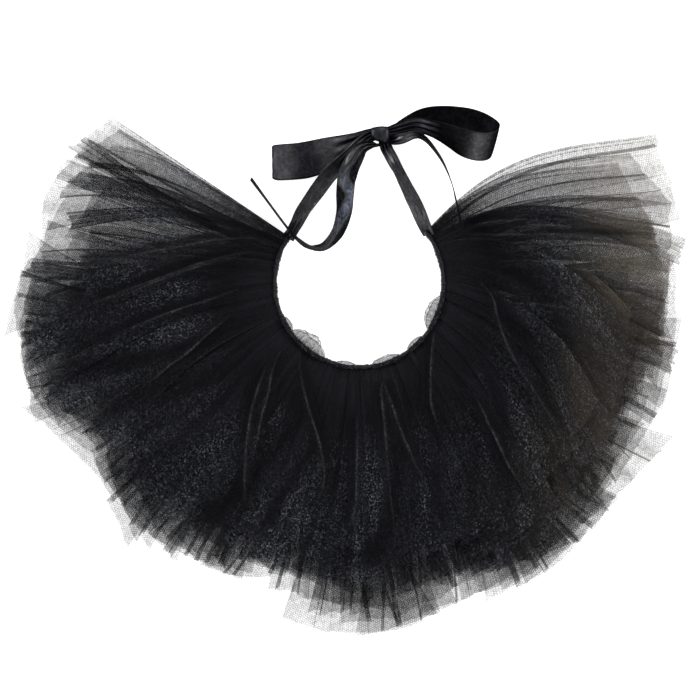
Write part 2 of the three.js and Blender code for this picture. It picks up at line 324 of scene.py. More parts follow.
# %% The clouds group
def cloud_group():
    """Soft clouds with a grain in them. Mask goes from 0 at Low to 1 at High, as a smooth step does."""
    group, start, end = new_group(
        "grainy_clouds",
        [("Vector", "NodeSocketVector", None), ("Scale", "NodeSocketFloat", 70.0),
         ("Grain", "NodeSocketFloat", 0.0), ("Low", "NodeSocketFloat", 0.4),
         ("High", "NodeSocketFloat", 0.75)],
        [("Mask", "NodeSocketFloat")])
    vector = start.outputs["Vector"]
    grain = maths(group, "MULTIPLY", speck(group, vector, 520), start.outputs["Grain"])
    cloudy = maths(group, "ADD", noise(group, vector, start.outputs["Scale"], 3.0, 0.6), grain)
    mask = ramp(group, cloudy, start.outputs["Low"], start.outputs["High"])
    group.links.new(mask, end.inputs["Mask"])
    return group


CLOUDS = cloud_group()


def clouds(tree, vector, scale, low, high, grain=0.0):
    """The clouds group in a material's tree. Returns its mask."""
    node = tree.nodes.new("ShaderNodeGroup")
    node.node_tree = CLOUDS
    tree.links.new(vector, node.inputs["Vector"])
    for label, value in (("Scale", scale), ("Low", low), ("High", high), ("Grain", grain)):
        node.inputs[label].default_value = value
    return node.outputs["Mask"]


# %% [markdown]
# ## The tulle
# Black nylon net is dark because its threads are, and pale where the table shows
# through its holes, so the net is drawn by the shader's alpha. Real net is never
# quite regular: the honeycomb is pushed about a little, and a random value for
# each small cell opens some holes more than others. Four things vary over a panel
# and come as attributes from the shapes below: cover, how closely the cloth is
# gathered; the share of painted glints; crease, a painted highlight where a fold
# would catch the light; and warm, a browner tint. The painted glints stand for short
# bluish glints of light on single threads. They are a random value for each cell
# of a fine pattern, raised to a high power so that few are left.

# %% The tulle material
NET_CELL = 1.6 * MM        # from the middle of one hole to the middle of the next
NET_THREAD = (0.0022, 0.0022, 0.0030)
NET_WARM = (0.100, 0.080, 0.056)
# Painted light: a highlight colour where a crease catches the light, and a colour for glints on single
# threads.
NET_PAINTED_HIGHLIGHT = (0.098, 0.100, 0.110)
NET_PAINTED_GLINT = (0.220, 0.227, 0.262)


def tulle_material(name):
    """Black net: a honeycomb for its alpha, and thread, warm, a painted crest highlight and painted
    glints mixed for its colour.
    """
    material, tree, surface, flat = cloth_material(name)
    surface.inputs["Roughness"].default_value = 0.72
    surface.inputs["Specular IOR Level"].default_value = 0.05
    net = tree.nodes.new("ShaderNodeGroup")
    net.node_tree = NET
    net.inputs["Cell"].default_value = NET_CELL
    net.inputs["Crisp"].default_value = 0.3
    tree.links.new(uneven(tree, flat, 420, 1.0 * MM), net.inputs["Vector"])
    loose = maths(tree, "MULTIPLY_ADD", speck(tree, flat, 610), 0.4, 0.8)
    cover = maths(tree, "MULTIPLY", attribute(tree, "cover"), loose, clamp=True)
    tree.links.new(cover, net.inputs["Cover"])
    tree.links.new(maths(tree, "MULTIPLY", net.outputs["Thread"], 0.94), surface.inputs["Alpha"])

    patches = clouds(tree, scaled(tree, flat, (1, 0.22, 1)), 70, 0.38, 0.75)
    colour = mix_colour(tree, patches, NET_THREAD, tuple(2.4 * c for c in NET_THREAD))
    colour = mix_colour(tree, attribute(tree, "warm"), colour, NET_WARM)
    # The crease attribute mixes in a painted highlight, broken up by the grain. The painted glints are
    # the highest few cells of the same grain.
    grain = speck(tree, flat, 1150)
    highlight_breakup = maths(tree, "MULTIPLY_ADD", grain, 1.05, 0.02)
    painted_crest_light = maths(tree, "MULTIPLY", attribute(tree, "crease"), highlight_breakup)
    colour = mix_colour(tree, painted_crest_light, colour, NET_PAINTED_HIGHLIGHT)
    painted_glint_mask = maths(tree, "MULTIPLY", maths(tree, "POWER", grain, 6.0), attribute(tree, "sparkle"))
    tree.links.new(mix_colour(tree, painted_glint_mask, colour, NET_PAINTED_GLINT), surface.inputs["Base Color"])
    return material


TULLE = tulle_material("black_tulle")
print("tulle: holes in mm", NET_CELL / MM, "nodes", len(TULLE.node_tree.nodes))


# %% [markdown]
# ## Reading a panel's form
# Each tulle solid is a fan: two edges that run from the waistband to the hem, a
# curved hem, and a height that grows towards the hem. The solid's own points give
# all of that. They lie in four rows, at fixed shares of the way from heading to
# hem, so the rows are told apart by their distance from the waist's middle.

# %% Panel forms
ROW_SHARES = (0, 0.3, 0.64, 1)
ROW_RADII = (0, 0.080, 0.128, 0.188, 0.3)      # metres: one row of points between each two
HEADING_HIDDEN = 1.4 * MM                      # how far the headings go in under the band


def panel_form(node):
    """A panel's edges, hem and heights, as polynomials through its solid's rows of points.

    An edge's angle is a cubic of the share down the panel, and the hem's reach a
    parabola of the share along it.
    """
    points = np.array([v.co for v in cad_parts[node].data.vertices])
    offset = points[:, :2] - WAIST
    radius = np.hypot(offset[:, 0], offset[:, 1])
    angle = np.degrees(np.arctan2(offset[:, 1], offset[:, 0])) % 360
    angle[angle < 100] += 360              # so that angles grow along the skirt without a jump
    rows = [(radius >= low) & (radius < high) for low, high in zip(ROW_RADII, ROW_RADII[1:])]
    hem = rows[-1]
    along = (angle[hem] - angle[hem].min()) / np.ptp(angle[hem])
    return {
        "first": np.polyfit(ROW_SHARES, [angle[row].min() for row in rows], 3),
        "last": np.polyfit(ROW_SHARES, [angle[row].max() for row in rows], 3),
        "reach": np.polyfit(along, radius[hem], 2),
        "heading": radius.min() - HEADING_HIDDEN,
        "low": (points[rows[0], 2].min(), points[hem, 2].min()),
        "high": (points[rows[0], 2].max(), points[hem, 2].max()),
    }


FORMS = {name: panel_form(name) for name in sorted(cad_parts) if "panel" in name}
print("panels read:", len(FORMS))


# %% [markdown]
# ## Smooth lines
# Creases and ribbons are given by a few listed points. A Catmull-Rom curve
# goes through all of them, and its direction at each point is that from the point
# before to the point after, so a line has no corner where two stretches meet.

# %% Smooth lines through a few points
def smooth_line(values, count):
    """A Catmull-Rom curve: `count` values on a smooth line through the given ones, in their order.

    Between b and c, with a before and d after them, it is
    b + t (c - a) / 2 + t^2 (a - 2.5 b + 2 c - d / 2) + t^3 (1.5 (b - c) + (d - a) / 2).
    """
    values = np.asarray(values, float)
    ends = np.concatenate([[2 * values[0] - values[1]], values, [2 * values[-1] - values[-2]]])
    at = np.linspace(0, len(values) - 1 - 1e-9, count)
    k = at.astype(int)
    t = (at - k).reshape((-1,) + (1,) * (values.ndim - 1))
    a, b, c, d = ends[k], ends[k + 1], ends[k + 2], ends[k + 3]
    square, cube = a - 2.5 * b + 2 * c - d / 2, 1.5 * (b - c) + (d - a) / 2
    return b + t * (c - a) / 2 + t ** 2 * square + t ** 3 * cube


# %% [markdown]
# ## Strips of net
# A tutu like this is made from many rectangles of net. Each is bunched at one end,
# where it is caught in the waistband, and fans out towards its cut end. So a panel
# is a stack of strips that cross at small angles. A strip is worked out flat first:
# c runs across the cloth from 0 to 1, and v along it from the heading to the hem.
#
# The strips also have folds along them. A fold is laid as a dressmaker lays a knife
# pleat: the cloth goes forward, doubles back, and goes forward again, so that three
# cloths lie on each other between two sharp edges. Those are the thin dark lines
# of the skirt. A fold is deeper at one end than at the other, as a wedge is.
#
# Beside those folds, a strip has fine creases: lines that are as narrow as a thread
# or two, where the net is pressed together and so looks darker.

# %% Knife folds
EDGE = 0.012               # half the cloth that a fold's turn takes, as a share of the strip
LINE = 0.007               # half the width of a fine crease, as a share of the strip
STRIP_COLUMNS = 26         # even ones, before those at the folds and creases
STRIP_ROWS = 25
FOLD_GAP = 0.35 * MM       # from one layer of a fold to the next


def strip_columns(folds, creases):
    """Where the columns of a strip's grid lie: even ones, and close ones at edges, folds and creases."""
    close = [fold["at"] + EDGE * np.array([-1.1, -0.6, 0, 0.6, 1.1]) for fold in folds]
    close += [crease["at"] + LINE * np.array([-1, 0, 1]) for crease in creases]
    edges = np.array([0.008, 0.02, 0.98, 0.992])
    even = np.linspace(0, 1, STRIP_COLUMNS)
    return np.unique(np.clip(np.concatenate([even, edges, *close]), 0, 1))


def lay_folds(c, v, folds):
    """Place across the folded strip from -1 to 1, the layer's number, and how far c is past each fold.

    Each fold takes its depth off the place within the turn, as a smooth step does. The layer
    is 0 for the lowest cloth. It rises by 2 at a fold and dies away behind it.
    """
    place, layer, past_all = c.copy(), np.zeros_like(c), []
    used = np.zeros_like(c)
    for fold in folds:
        depth = blend(fold["top"], fold["hem"], v)
        past = smooth_step(fold["at"] - EDGE, fold["at"] + EDGE, c)
        place -= depth * past
        used += depth
        layer += 2 * past * np.exp(-np.maximum(c - fold["at"], 0) / 0.12)
        past_all.append(past)
    return 2 * place / (1 - used) - 1, layer, past_all


# %% A strip's way down the panel
def strip_way(strip, c, v, s):
    """Place across the panel from 0 to 1, and the strip's half width as a share of the panel's.

    The middle goes from heading_at to hem_at with a bend, a half sine, and a sway, a longer
    sine that grows towards the hem. Ripples are a sine across the cloth that grows too.
    """
    middle = blend(strip["heading_at"], strip["hem_at"], v) + strip["bend"] * np.sin(np.pi * v)
    middle += strip["sway"] * np.sin(2.6 * np.pi * v + strip["turn"]) * v
    half = blend(strip["heading_half"], strip["hem_half"], v ** strip["flare"])
    waves = 2 * np.pi * strip["ripples"] * c + strip["turn"] + 0.8 * wander(v * 0.8, strip["rng"], 2)
    return middle + half * (s + 0.5 * strip["ripple"] * np.sin(waves) * v), half


def cut_end(strip, reach, c, s, past_all):
    """Distance of the strip's cut end from the waist's middle.

    The end is cut straight, so its corners reach further than its middle, by 2.5 mm |s|^2.5.
    It slants, wanders, steps at each fold, and is uneven by 0.7 mm from thread to thread.
    """
    rng = strip["rng"]
    slant = strip["slant"] * s - 0.6 * abs(strip["slant"])
    beyond = 4 + 2.5 * np.abs(s) ** 2.5 + slant + 1.6 * wander(c * 2, rng)
    beyond += sum(fold["step"] * past for fold, past in zip(strip["folds"], past_all))
    return reach + MM * (beyond + rng.uniform(-0.7, 0.7, c.shape[1]))


def strip_height(strip, form, c, v, s, layer):
    """Height: the panel's floor, plus a share of its room that grows with the strip's level.

    A wander across the cloth and a dome over the strip's middle add to that share. Each
    layer of a fold and the strip's own puff add a few tenths of a millimetre to a few.
    """
    floor = blend(*form["low"], v)
    room = blend(*form["high"], v) - floor
    dome = (1 - s ** 2) * np.sin(np.pi * np.clip(v / 0.8, 0, 1)) ** 0.8
    roll = 0.5 + 0.5 * wander(c * 1.3 + v * 0.6, strip["rng"], 3)
    height = floor + room * (0.03 + 0.55 * strip["level"] + 0.24 * roll * v + 0.12 * dome)
    puffed = (1 - 0.6 * s ** 2) * np.sin(np.pi * np.clip(v / 0.9, 0, 1) ** 0.7)
    return np.maximum(height + FOLD_GAP * layer + strip["puff"] * MM * puffed, 0.3 * MM)


# %% A strip's cover
NET_COVER = 0.42           # share of flat, unstretched net that is thread


def strip_cover(strip, c, v, edge_away, packed):
    """How much of the light the net stops. Packed is its flat width over the width it takes up.

    Net packed p times stops 1 - (1 - NET_COVER)^p. It is packed more along the strip's edges
    and its fine creases. Near the heading it closes as "closed" and "seam" say.
    """
    edge_shows = smooth_step(0.05, 0.35, v) * smooth_step(1.0, 0.8, v)
    packed = packed * (1 + 1.3 * bell(edge_away, 0.9 * MM) * edge_shows)
    for crease in strip["creases"]:
        strong = bell(v - crease["middle"], crease["long"]) * smooth_step(1.03, 0.9, v)
        packed = packed + crease["dark"] * strong * bell(c - crease["at"], 0.6 * LINE)
    cover = 1 - (1 - NET_COVER) ** np.clip(packed, 0.9, 30)
    cover = blend(cover, 0.97, strip["closed"] * smooth_step(0.62, 0.12, v))
    return blend(cover, 0.95, strip["seam"] * smooth_step(0.30, 0.06, v))


# %% One strip of net
def net_strip(form, strip):
    """One strip's grid within its panel's form, and its cloth's width and length.

    c runs across the cloth and v along it, s is the folded place across the strip, and u the
    place across the panel. The panel's edges and hem turn u and v into an angle and a radius.
    """
    rng = strip["rng"]
    down = np.linspace(0, 1, STRIP_ROWS) ** 0.92
    c, v = np.meshgrid(strip_columns(strip["folds"], strip["creases"]), down)
    s, layer, past_all = lay_folds(c, v, strip["folds"])
    u, half = strip_way(strip, c, v, s)
    reach = np.polyval(form["reach"], np.clip(u, 0, 1)) + strip["shift"]
    cut = cut_end(strip, reach, c, s, past_all)
    radius = form["heading"] + (cut - form["heading"]) * v
    first, last = np.polyval(form["first"], v), np.polyval(form["last"], v)
    angle = np.radians(blend(first, last, u))
    points = round_waist(radius, angle, strip_height(strip, form, c, v, s, layer))

    step = np.linalg.norm(np.gradient(points, axis=1), axis=-1)
    cloth_width = step[-4:].sum(axis=1).mean() * strip["gather"]
    edge_away = (1 - np.abs(s)) * half * np.radians(last - first) * radius
    packed = cloth_width * np.gradient(c, axis=1) / step
    cover = strip_cover(strip, c, v, edge_away, packed)

    # Painted highlight: pale lines along the strip's edges, and a faint painted lift near the heading,
    # both carried by the crease attribute.
    painted_edge_line = bell(edge_away, 0.7 * MM) * smooth_step(0.02, 0.12, v) * smooth_step(0.85, 0.5, v)
    crease = 0.6 * strip["glow"] * painted_edge_line + 0.05 * smooth_step(0.28, 0.0, v)
    # Painted glints: more on lit streaks along the strip, in patches, and none near the heading.
    lit = 0.5 + 0.5 * wander(c * 1.7 + 0.4 * v, rng, 3)
    mottle = np.clip(0.5 + 0.9 * wander(c * 1.1 + v * 1.2, rng, 4), 0, 1)
    sparkle = smooth_step(0.22, 0.60, v) * blend(0.3, 1, lit ** 2) * mottle
    degrees = np.degrees(angle)
    side = 0.35 * smooth_step(290, 340, degrees) + 0.65 * smooth_step(345, 370, degrees)
    warm = side * smooth_step(0.55, 0.98, v) * (0.6 + 0.4 * wander(c * 1.3 + v, rng, 3))
    flat = stack(c * cloth_width, v * (cut - form["heading"])) + rng.uniform(0, 0.4, 2)
    grid = {"points": points, "flat": flat, "cover": cover, "sparkle": sparkle,
            "crease": crease, "warm": warm}
    return grid, (cloth_width, (reach - form["heading"]).mean())


# %% [markdown]
# ## The three tiers
# The lowest tier is the longest, and its strips differ most in length, so that few
# cloths are left at the very hem and the black fades to pale grey. Towards both
# ends of the waistband there are fewer strips, spread wider and closed at their
# headings, and one of them runs along the skirt's own edge.
#
# Beside the plain strips there are three other kinds. Narrow ones are bunched over
# all of their length and make dark spokes at the hem. A wide one lies lowest in
# some panels and reaches furthest, as a single pale cloth. The top tier is finished
# with two broad strips in each panel, which puff up over the headings of the others.

# %% Tiers: strips of each kind in each of the eight panels, and panels with a wide one
TIERS = {
    "underskirt_panel": {"plain": (3, 6, 8, 8, 8, 9, 9, 3), "narrow": (1, 2, 1, 1, 1, 1, 2, 1),
                         "wide": (3, 5), "broad": 0, "shortest": -37 * MM},
    "middle_panel": {"plain": (3, 5, 7, 8, 8, 8, 8, 3), "narrow": (2, 1, 1, 0, 1, 1, 2, 1),
                     "wide": (2, 7), "broad": 0, "shortest": -35 * MM},
    "top_panel": {"plain": (2, 4, 6, 7, 7, 7, 7, 3), "narrow": (1, 1, 0, 0, 0, 0, 1, 1),
                  "wide": (), "broad": 2, "shortest": -31 * MM},
}
EDGES = {1: "first", 8: "last"}                # panels at the waistband's ends
EDGE_HEADING = {"first": 0.25, "last": 0.36}   # half width of a strip at its heading there
EDGE_SEAM = {"first": 0.3, "last": 0.9}        # and how closed it is


# %% Folds and creases of a strip
def strip_folds(count, rng):
    """Knife folds at uneven places across a strip, each with its depth at heading and hem."""
    places = (np.arange(count) + 0.5 + rng.uniform(-0.3, 0.3, count)) / count
    return [{"at": blend(0.08, 0.92, place), "top": rng.uniform(0.02, 0.08),
             "hem": rng.uniform(0.026, 0.075), "step": rng.uniform(-3.5, 4.0)} for place in places]


def fine_creases(count, rng):
    """Fine creases: where each lies, how dark it is, and the middle and length of what shows."""
    return [{"at": rng.uniform(0.06, 0.94), "dark": rng.uniform(0.6, 2.6),
             "middle": rng.uniform(0.3, 1.0), "long": rng.uniform(0.15, 0.6)} for _ in range(count)]


# %% Kinds of strip
def new_strip(rng, **own):
    """A strip's values. Places and half widths are shares of the panel's width."""
    return {"rng": rng, "gather": 1.0, "closed": 0.0, "puff": 0.4, "seam": 0.0, "ripples": 1, **own}


def plain_strips(count, shortest, edge, rng):
    """A panel's plain strips from lowest to highest. Their rank, 0 to 1, says how short each is."""
    strips = []
    top = EDGE_HEADING.get(edge, 0.11)
    for level, k in enumerate(rng.permutation(count)):
        rank = (level * 2 + k) % count / max(count - 1, 1)
        even = (k + 0.5) / count
        even = {"first": 1 - (1 - even) ** 1.4, "last": even ** 2.3}.get(edge, even)
        half = rng.uniform(0.28, 0.40) if rank < 0.35 else rng.uniform(0.18, 0.28)
        strips.append(new_strip(
            rng, level=0.8 * level / max(count - 1, 1), hem_half=half, heading_half=top,
            hem_at=np.clip(even + rng.uniform(-0.13, 0.13), half - 0.12, 1.12 - half),
            heading_at=np.clip(even + rng.uniform(-0.28, 0.28), top - 0.01, 1.01 - top),
            bend=rng.uniform(-0.07, 0.07), sway=rng.uniform(-0.02, 0.02),
            flare=rng.uniform(0.95, 1.3), folds=strip_folds(rng.integers(1, 4), rng),
            ripples=rng.uniform(2, 4), ripple=rng.uniform(0.0, 0.12), turn=rng.uniform(0, 2 * np.pi),
            shift=shortest * rank ** 1.25, glow=rng.choice([0, 0.1, 0.25]),
            seam=EDGE_SEAM.get(edge, 0.0), creases=fine_creases(rng.integers(2, 5), rng),
            slant=rng.uniform(-6, 6)))
        if k == {"first": 0, "last": count - 1}.get(edge):
            run_along_edge(strips[-1], 0 if edge == "first" else 1)
    return strips


def run_along_edge(strip, side):
    """Lays a strip along the skirt's own edge, at side 0 or 1, with two dark creases in it."""
    strip.update(hem_at=abs(side - strip["hem_half"]), heading_at=abs(side - strip["heading_half"]),
                 bend=0, sway=0, shift=0, flare=1)
    strip["creases"] += [{"at": abs(side - away), "dark": 2.5, "middle": 0.5, "long": 0.9}
                         for away in (0.02, 0.06)]


def narrow_strip(k, count, shortest, rng):
    """A narrow strip, bunched over all of its length."""
    return new_strip(
        rng, level=rng.uniform(0.2, 0.8), hem_half=rng.uniform(0.03, 0.07), heading_half=0.03,
        hem_at=(k + rng.uniform(0.3, 0.9)) / (count + 0.2), heading_at=rng.uniform(0.1, 0.9),
        bend=rng.uniform(-0.06, 0.06), sway=rng.uniform(-0.03, 0.03), flare=1.1,
        gather=rng.uniform(1.1, 1.8), folds=strip_folds(1, rng), ripple=0.1, turn=k,
        shift=shortest * rng.uniform(0, 0.7), glow=0.1, creases=fine_creases(2, rng),
        slant=rng.uniform(-4, 4))


def wide_strip(strip, rng):
    """Another strip's copy that is as wide as the panel and a little longer than its hem."""
    return {**strip, "level": 0.0, "hem_half": 0.5, "hem_at": 0.5, "heading_at": 0.5,
            "heading_half": 0.3, "bend": 0, "sway": 0, "flare": 1, "folds": strip_folds(1, rng),
            "ripple": 0.02, "shift": 1.5 * MM, "creases": fine_creases(6, rng),
            "slant": rng.uniform(-3, 3)}


def broad_strip(k, count, shortest, rng):
    """A broad strip on top of the others, closed at its heading and puffed up."""
    return new_strip(
        rng, level=0.9 + 0.1 * k, hem_half=rng.uniform(0.34, 0.42), heading_half=0.30,
        hem_at=(k + 0.5) / count + rng.uniform(-0.06, 0.06), heading_at=(k + 0.5) / count,
        bend=rng.uniform(-0.06, 0.06), sway=rng.uniform(-0.02, 0.02), flare=rng.uniform(1.0, 1.2),
        folds=strip_folds(2, rng), ripples=rng.uniform(1, 2), ripple=rng.uniform(0.0, 0.06),
        turn=rng.uniform(0, 2 * np.pi), shift=shortest * rng.uniform(0.3, 0.9), glow=0.22,
        closed=0.9, puff=1.3 + 0.7 * k, creases=fine_creases(2, rng), slant=rng.uniform(-4, 4))


# %% Panels
def panel_strips(row, number, rng):
    """All strips of one panel, from lowest to highest."""
    edge, shortest, narrow = EDGES.get(number), row["shortest"], row["narrow"][number - 1]
    strips = plain_strips(row["plain"][number - 1], shortest, edge, rng)
    strips += [narrow_strip(k, narrow, shortest, rng) for k in range(narrow)]
    if number in row["wide"]:
        strips.append(wide_strip(strips[0], rng))
    if not edge:
        strips += [broad_strip(k, row["broad"], shortest, rng) for k in range(row["broad"])]
    return strips


def tulle_panel(node):
    """All strips of one panel as one piece. Returns their cloths' area, with what is gathered."""
    tier, number = node.rsplit("_", 1)
    rng = np.random.default_rng(sum(map(ord, tier)) * 31 + int(number))
    made = [net_strip(FORMS[node], strip) for strip in panel_strips(TIERS[tier], int(number), rng)]
    grids = [grid for grid, _ in made]
    piece = cloth_object("net_" + node, grids, TULLE, turned=True)
    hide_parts(node)
    area = sum(grid_area(grid["points"]) for grid in grids)
    length = sum(size[1] for _, size in made) / len(made)
    return sum(size[0] for _, size in made) * length


def grid_area(points):
    """Area of a grid of points: for each cell, half the length of the cross product of its diagonals."""
    one = points[1:, 1:] - points[:-1, :-1]
    other = points[1:, :-1] - points[:-1, 1:]
    return np.linalg.norm(np.cross(one, other), axis=-1).sum() / 2


net_area = {node: tulle_panel(node) for node in FORMS}
print("net in all, in square metres:", round(sum(net_area.values()), 3))

# %% [markdown]
# ## Pressed creases
# The top tier keeps a few long creases from the time when it lay folded in its
# packet. Each is a sharp ridge pinched out of the net, with a hollow beside it that
# is darkened by painted shade: the net there is made nearly opaque. A painted
# highlight runs along the ridge's other, lit side. They are narrow folds of their
# own on top of the strips, placed one by one: where each one starts, bends and ends
# about the waist's middle, the ridge's height, and the side that its shaded hollow
# is on. The net thins out to nothing at both of its edges.

# %% Crease table: each line by its angles in degrees and its distances in millimetres
CREASES = [
    {"ridge": 1.9, "shaded_hollow": -1, "angle": (229, 243, 251, 257, 260, 259),
     "radius": (63, 84, 100, 118, 140, 158)},
    {"ridge": 1.8, "shaded_hollow": 1, "angle": (221, 226, 232, 238, 243), "radius": (84, 103, 125, 151, 176)},
    {"ridge": 1.8, "shaded_hollow": -1, "angle": (221, 226, 231, 236, 240), "radius": (72, 87, 101, 124, 148)},
    {"ridge": 1.4, "shaded_hollow": 1, "angle": (269, 269, 269, 269, 267), "radius": (92, 113, 138, 156, 172)},
    {"ridge": 1.6, "shaded_hollow": 1, "angle": (283, 281, 280, 279, 278), "radius": (70, 80, 98, 118, 175)},
    {"ridge": 1.4, "shaded_hollow": -1, "angle": (284, 285, 286, 287, 288), "radius": (70, 84, 103, 124, 145)},
    {"ridge": 2.2, "shaded_hollow": 1, "angle": (329, 318, 309, 301, 297), "radius": (61, 68, 79, 97, 124)},
    {"ridge": 2.0, "shaded_hollow": -1, "angle": (361, 354, 345, 336, 329, 322),
     "radius": (84, 94, 101, 115, 140, 184)},
    {"ridge": 1.6, "shaded_hollow": 1, "angle": (163, 171, 177, 181, 185), "radius": (76, 104, 130, 156, 192)},
    {"ridge": 1.6, "shaded_hollow": 1, "angle": (167, 173, 178, 182, 184), "radius": (84, 108, 132, 158, 184)},
    {"ridge": 1.8, "shaded_hollow": 1, "angle": (183, 186, 188, 190, 192), "radius": (84, 104, 124, 146, 176)},
    {"ridge": 1.8, "shaded_hollow": -1, "angle": (194, 198, 202, 204, 206), "radius": (92, 107, 126, 146, 168)},
    {"ridge": 1.2, "shaded_hollow": 1, "angle": (156, 163, 169, 173, 176), "radius": (78, 104, 130, 160, 200)},
    {"ridge": 1.4, "shaded_hollow": 1, "angle": (316, 313, 311, 309, 308), "radius": (110, 128, 146, 166, 192)},
    {"ridge": 1.2, "shaded_hollow": -1, "angle": (384, 378, 374, 371, 369), "radius": (84, 110, 140, 170, 206)},
]
CREASE_HALF = (0.4, 0.8, 1.4, 2.2, 3.2, 4.6, 6.5, 9)         # columns at one side, in millimetres
CREASE_ROWS = 70


# %% Pressed creases
def skirt_top(radius):
    """Height of the top tier's cloth at a distance from the waist's middle.

    It is the top of the panel's solid, and up to 2.7 mm above it halfway down.
    """
    form = FORMS["top_panel_4"]
    down = (radius - form["heading"]) / (np.polyval(form["reach"], 0.5) - form["heading"])
    return blend(*form["high"], down) + 2.7 * MM * np.sin(np.pi * np.clip(down, 0, 1)) ** 0.6


def painted_crease_light(lit):
    """Painted highlight of a crease, at a distance on its lit side: a bell and a fading tail."""
    tail = 0.22 * np.exp(-np.maximum(lit, 0) / (4.5 * MM)) * (lit > 0)
    return np.maximum(0.56 * bell(lit - 0.5 * MM, 0.85 * MM), tail)


def crease_strip(row, rng):
    """A strip of net, 18 mm wide, along one crease.

    Its height is a bell on the line and a shallow dip beside it. Its cover adds up from that
    bell, the hollow, where it is painted shade, and a broad curve (1 - (off / 9 mm)^2)^2, and
    fades at both ends. Its crease attribute is a painted highlight on the lit side.
    """
    share = np.linspace(0, 1, CREASE_ROWS)
    angle = np.radians(smooth_line(row["angle"], CREASE_ROWS) + 0.25 * wander(2 * share, rng))
    radius = smooth_line(row["radius"], CREASE_ROWS) * MM
    line = stack(radius * np.cos(angle), radius * np.sin(angle))
    forward = unit(np.gradient(line, axis=0))
    side = stack(forward[:, 1], -forward[:, 0])
    off = np.array([*(-x for x in reversed(CREASE_HALF)), 0, *CREASE_HALF]) * MM
    plan = line[:, None] + side[:, None] * off[:, None]
    fade = np.sin(np.pi * blend(0.02, 0.98, share)) ** 0.5
    fade = (fade * (0.75 + 0.25 * wander(5 * share, rng)))[:, None]
    ridge = bell(off, 1.1 * MM)
    dip = bell(off - row["shaded_hollow"] * 2.1 * MM, 1.3 * MM)
    height = skirt_top(np.linalg.norm(plan, axis=-1)) + fade * (row["ridge"] * ridge - 0.9 * dip) * MM
    points = stack(plan[..., 0] + WAIST[0], plan[..., 1] + WAIST[1], height)
    length = np.concatenate([[0], np.cumsum(np.linalg.norm(np.diff(line, axis=0), axis=1))])
    flat = stack(off * 1.4, length[:, None]) + rng.uniform(0, 0.4, 2)
    lit = -off * row["shaded_hollow"]
    broad = (1 - (off / off.max()) ** 2) ** 2
    # Painted shade: the net in the hollow is made nearly opaque so that it reads dark. The crease
    # attribute below is a painted highlight on the lit side.
    shaded_hollow = smooth_step(0, -1 * MM, lit) * smooth_step(-7 * MM, -3 * MM, lit)
    cover = fade * (0.85 * ridge + 0.9 * shaded_hollow + 0.55 * broad).clip(0, 0.97)
    none = np.zeros_like(cover)
    return {"points": points, "flat": flat, "cover": cover, "sparkle": none,
            "crease": fade * painted_crease_light(lit), "warm": none}


crease_rng = np.random.default_rng(12)
crease_grids = [crease_strip(row, crease_rng) for row in CREASES]
creases = cloth_object("pressed_creases", crease_grids, TULLE)
crease_area = sum(grid_area(grid["points"]) for grid in crease_grids)
print("creases:", len(CREASES))

# %% [markdown]
# ## Frill inside the waist
# Where net was caught badly in the seam, small loose puffs of it show inside the
# waist opening. Each is a little fan of two cloths from the band's top edge.

# %% Frill table: where a puff starts and ends in degrees, and how far it reaches in millimetres
PUFFS = [
    {"start": 215, "end": 246, "reach": 9.5}, {"start": 279, "end": 300, "reach": 3.6},
    {"start": 326, "end": 352, "reach": 7.0}, {"start": 204, "end": 216, "reach": 2.5},
    {"start": 254, "end": 268, "reach": 2.2}, {"start": 306, "end": 320, "reach": 2.6},
]


# %% Frill
def puff(row, cloth, rng):
    """A lobe: its edge is a half sine to the power 0.7, and the net arches over the band and down."""
    t, v = np.meshgrid(np.linspace(0, 1, 40), np.linspace(0, 1, 14))
    lobe = np.sin(np.pi * t) ** 0.7 + 0.10 * wander(t * 3, rng)
    reach = row["reach"] * MM * lobe * (1 - 0.25 * cloth)
    radius = BAND_OUTER - 0.5 * MM - (3.3 * MM + reach) * v
    angle = np.radians(blend(row["start"], row["end"], t + 0.03 * np.sin(9 * t + 3 * v)))
    height = BAND_HEIGHT + 0.4 * MM + (1.6 * np.sin(np.pi * v) - 6.5 * v ** 2) * MM
    height += (0.9 * wander(t * 3, rng) * v + 0.5 * cloth) * MM
    flat = stack(t * 0.05, v * (0.006 + row["reach"] * MM)) + rng.uniform(0, 0.4, 2)
    rim = smooth_step(0.86, 1, v)
    gathers = 0.16 * wander(t * 9 + cloth, rng) * (1 - 0.5 * v)
    cover = 0.50 + gathers + 0.4 * rim + 0.35 * smooth_step(0.6, 0.1, v)
    # The rims get a painted highlight through the crease attribute, and the puffs a fixed share of
    # painted glints.
    return {"points": round_waist(radius, angle, height), "flat": flat, "cover": cover,
            "sparkle": np.full_like(t, 0.3), "crease": 0.3 * rim, "warm": np.zeros_like(t)}


frill_rng = np.random.default_rng(3)
frill_grids = [puff(row, cloth, frill_rng) for row in PUFFS for cloth in (0, 1)]
frill = cloth_object("waist_frill", frill_grids, TULLE)
frill_area = sum(grid_area(grid["points"]) for grid in frill_grids)
print("puffs in the frill:", len(PUFFS))

# %% [markdown]
# ## The waistband
# The band is a narrow elastic in a casing of the same black fabric. Elastic
# shortens the casing, so it stands in small even ruches, one every three
# millimetres. The section is a rounded bar, a superellipse, carried along the arc
# of the waist. Its size swells at each ruch and is pinched between two of them.

